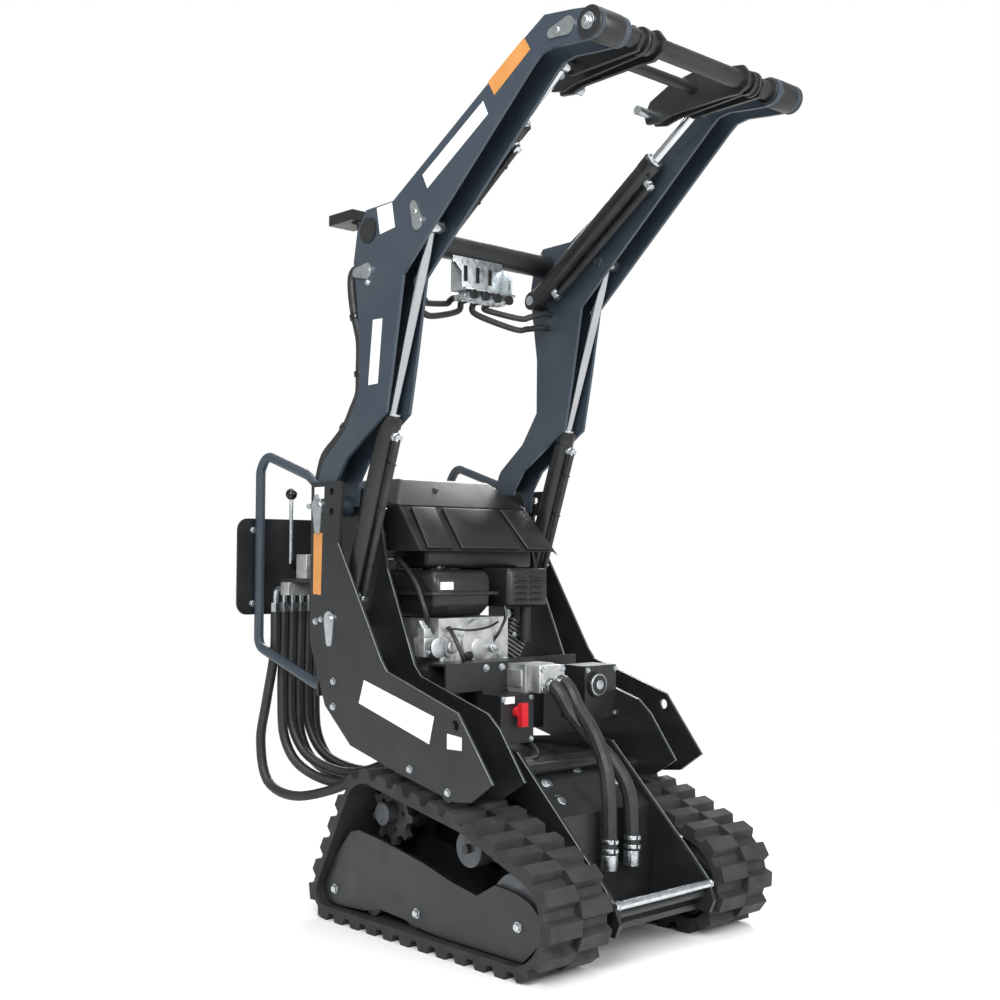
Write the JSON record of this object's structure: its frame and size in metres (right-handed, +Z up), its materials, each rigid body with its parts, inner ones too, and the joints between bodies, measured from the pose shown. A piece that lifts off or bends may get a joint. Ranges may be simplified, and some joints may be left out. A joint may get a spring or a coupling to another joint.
{
  "type": "mini skid steer loader",
  "caption": "Compact walk-behind loader on rubber tracks, with raised lift arms, an open engine bay and a front hitch.",
  "frame": {"origin": "middle of the machine's box along X and Y, on the ground", "axes": "+X forward, +Y the machine's left, +Z up"},
  "size_m": [1.2348, 0.77, 1.977],
  "materials": {
    "frame_paint": "satin black powder coat",
    "arm_paint": "satin blue-grey paint",
    "rubber_track": "moulded rubber",
    "zinc": "bright zinc plate",
    "alloy_casting": "cast aluminium",
    "cast_fins": "cast aluminium, fins",
    "exhaust_steel": "heat-darkened steel",
    "cast_sprocket": "painted casting",
    "red_plastic": "moulded red",
    "hood_plastic": "moulded textured black",
    "shroud_paint": "semi-gloss black",
    "knob_plastic": "phenolic knob and steel rod",
    "hose_rubber": "fabric-finish hose rubber",
    "valve_casting": "machined iron",
    "lamp_housing": "die-cast housing",
    "chromed_rod": "hard chrome",
    "barrel_paint": "gloss black"
  },
  "bodies": {
    "chassis": {"undercarriage_frame": "frame_paint", "track_frame_right": "frame_paint", "track_frame_left": "frame_paint", "track_right": "rubber_track", "track_left": "rubber_track", "sprocket_right": "cast_sprocket", "sprocket_left": "cast_sprocket", "rollers_right": "cast_sprocket", "rollers_left": "cast_sprocket", "hydraulic_tank": "frame_paint", "tower_right": "frame_paint", "tower_left": "frame_paint", "cross_channel": "frame_paint", "crankcase": "alloy_casting", "engine_cylinder": "cast_fins", "fan_housing": "shroud_paint", "fuel_tank": "shroud_paint", "muffler": "shroud_paint", "exhaust_elbow": "exhaust_steel", "hydraulic_pump": "alloy_casting", "isolator_box": "frame_paint", "isolator_switch": "red_plastic", "side_box": "frame_paint", "hood": "hood_plastic", "side_rail_right": "arm_paint", "side_rail_left": "arm_paint", "console_panel": "hood_plastic", "control_valve": "valve_casting", "control_levers": "knob_plastic", "suction_hoses": "hose_rubber", "tower_pins": "zinc", "foot_step": "frame_paint", "valve_shelf": "frame_paint"},
    "arms": {"arm_right": "arm_paint", "arm_left": "arm_paint", "knee_tube": "arm_paint", "arm_pins": "zinc", "coupler_bracket": "zinc", "knee_lamp": "lamp_housing"},
    "hitch": {"hitch_frame": "frame_paint", "hitch_latches": "zinc"},
    "lift_barrel_right": {"lift_barrel_right": "barrel_paint"},
    "lift_barrel_left": {"lift_barrel_left": "barrel_paint"},
    "lift_rod_right": {"lift_rod_right": "chromed_rod"},
    "lift_rod_left": {"lift_rod_left": "chromed_rod"},
    "tilt_barrel_right": {"tilt_barrel_right": "barrel_paint"},
    "tilt_barrel_left": {"tilt_barrel_left": "barrel_paint"},
    "tilt_rod_right": {"tilt_rod_right": "chromed_rod"},
    "tilt_rod_left": {"tilt_rod_left": "chromed_rod"}
  },
  "joints": [
    {"name": "lift", "type": "hinge", "parent": "chassis", "child": "arms", "pos_m": [-0.3116, 0, 0.98], "axis": [0, 1, 0], "range_deg": [0, 87]},
    {"name": "hitch_tilt", "type": "hinge", "parent": "arms", "child": "hitch", "pos_m": [0.5854, 0, 1.923], "axis": [0, 1, 0], "range_deg": [0, 80]},
    {"name": "lift_barrel_right_turn", "type": "hinge", "parent": "chassis", "child": "lift_barrel_right", "pos_m": [-0.2586, -0.2955, 0.706], "axis": [0, 1, 0], "range_deg": [-0.1, 76.47]},
    {"name": "lift_rod_right_slide", "type": "slide", "parent": "lift_barrel_right", "child": "lift_rod_right", "axis": [0.3203, 0, 0.9473], "range_m": [-0.35779, 0.0005]},
    {"name": "tilt_barrel_right_turn", "type": "hinge", "parent": "arms", "child": "tilt_barrel_right", "pos_m": [-0.1386, -0.224, 1.533], "axis": [0, 1, 0], "range_deg": [-4.29, 0.1]},
    {"name": "tilt_rod_right_slide", "type": "slide", "parent": "tilt_barrel_right", "child": "tilt_rod_right", "axis": [0.8153, 0, 0.5791], "range_m": [-0.0005, 0.22767]},
    {"name": "lift_barrel_left_turn", "type": "hinge", "parent": "chassis", "child": "lift_barrel_left", "pos_m": [-0.2586, 0.2955, 0.706], "axis": [0, 1, 0], "range_deg": [-0.1, 76.47]},
    {"name": "lift_rod_left_slide", "type": "slide", "parent": "lift_barrel_left", "child": "lift_rod_left", "axis": [0.3203, 0, 0.9473], "range_m": [-0.35779, 0.0005]},
    {"name": "tilt_barrel_left_turn", "type": "hinge", "parent": "arms", "child": "tilt_barrel_left", "pos_m": [-0.1386, 0.224, 1.533], "axis": [0, 1, 0], "range_deg": [-4.29, 0.1]},
    {"name": "tilt_rod_left_slide", "type": "slide", "parent": "tilt_barrel_left", "child": "tilt_rod_left", "axis": [0.8153, 0, 0.5791], "range_m": [-0.0005, 0.22767]}
  ],
  "couplings": [
    {"joint": "lift_barrel_right_turn", "follows": "lift", "ratio": 0.87778},
    {"joint": "lift_rod_right_slide", "follows": "lift", "m_per_rad": -0.2353},
    {"joint": "tilt_barrel_right_turn", "follows": "hitch_tilt", "ratio": -0.052435},
    {"joint": "tilt_rod_right_slide", "follows": "hitch_tilt", "m_per_rad": 0.1627},
    {"joint": "lift_barrel_left_turn", "follows": "lift", "ratio": 0.87778},
    {"joint": "lift_rod_left_slide", "follows": "lift", "m_per_rad": -0.2353},
    {"joint": "tilt_barrel_left_turn", "follows": "hitch_tilt", "ratio": -0.052435},
    {"joint": "tilt_rod_left_slide", "follows": "hitch_tilt", "m_per_rad": 0.1627}
  ]
}
